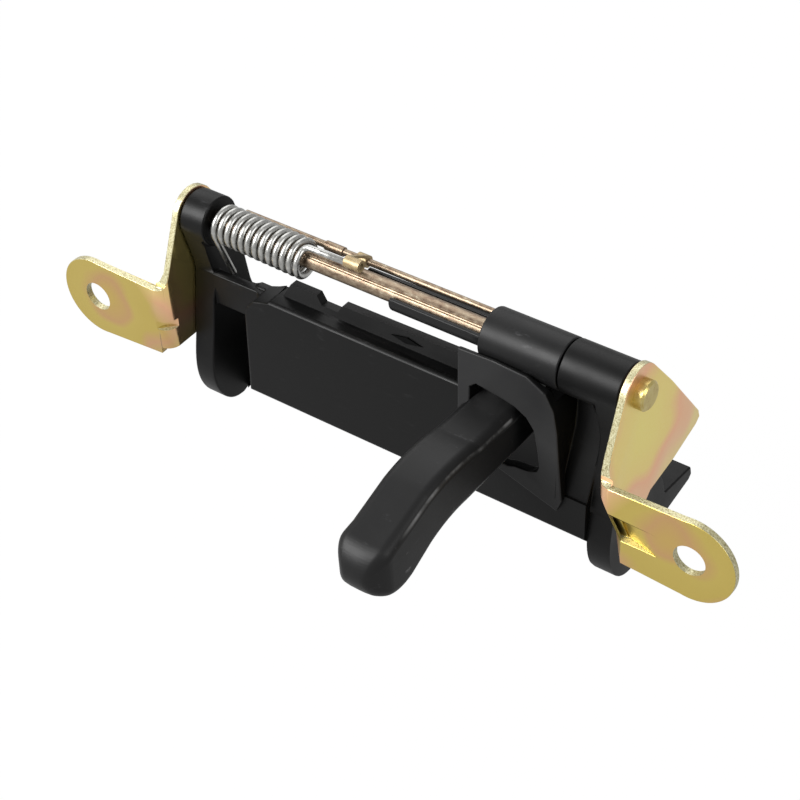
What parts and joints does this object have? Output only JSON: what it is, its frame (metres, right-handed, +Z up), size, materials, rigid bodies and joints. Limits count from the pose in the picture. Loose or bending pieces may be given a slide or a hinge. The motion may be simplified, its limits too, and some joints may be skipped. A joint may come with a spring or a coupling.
{
  "type": "tailgate handle",
  "caption": "Hinged tailgate handle with a black moulded finger pull, a hook lever, a torsion spring and two zinc-plated side brackets on one hinge pin.",
  "frame": {"origin": "midway between the two bolt holes, on the flanges' seat face", "axes": "+X along the hinge pin to the right, -Y towards the hook, away from the seat face, +Z up"},
  "size_m": [0.174, 0.0797, 0.0562],
  "materials": {
    "zinc_sheet": "yellow zinc plated",
    "plated_pin": "yellow zinc plated, worn pinkish",
    "black_moulding": "satin moulded",
    "black_lever": "satin moulded",
    "spring_wire": "drawn bright wire",
    "plated_rod": "plated, pinkish",
    "zinc_clip": "yellow zinc plated"
  },
  "bodies": {
    "fixed": {"left_bracket": "zinc_sheet", "right_bracket": "zinc_sheet", "pivot_pin": "plated_pin"},
    "handle": {"handle_body": "black_moulding"},
    "lever": {"hook_lever": "black_lever", "torsion_spring": "spring_wire", "torque_rod": "plated_rod", "spring_clip": "zinc_clip"}
  },
  "joints": [
    {"name": "handle_pivot", "type": "hinge", "parent": "fixed", "child": "handle", "pos_m": [0, 0.0122, 0.0231], "axis": [1, 0, 0], "range_deg": [0, 28], "stiffness_Nm_per_rad": 0.15, "springref_deg": -34.38},
    {"name": "lever_pivot", "type": "hinge", "parent": "fixed", "child": "lever", "pos_m": [0, 0.0122, 0.0231], "axis": [1, 0, 0], "range_deg": [0, 28]}
  ],
  "couplings": [
    {"joint": "lever_pivot", "follows": "handle_pivot", "ratio": 1}
  ]
}
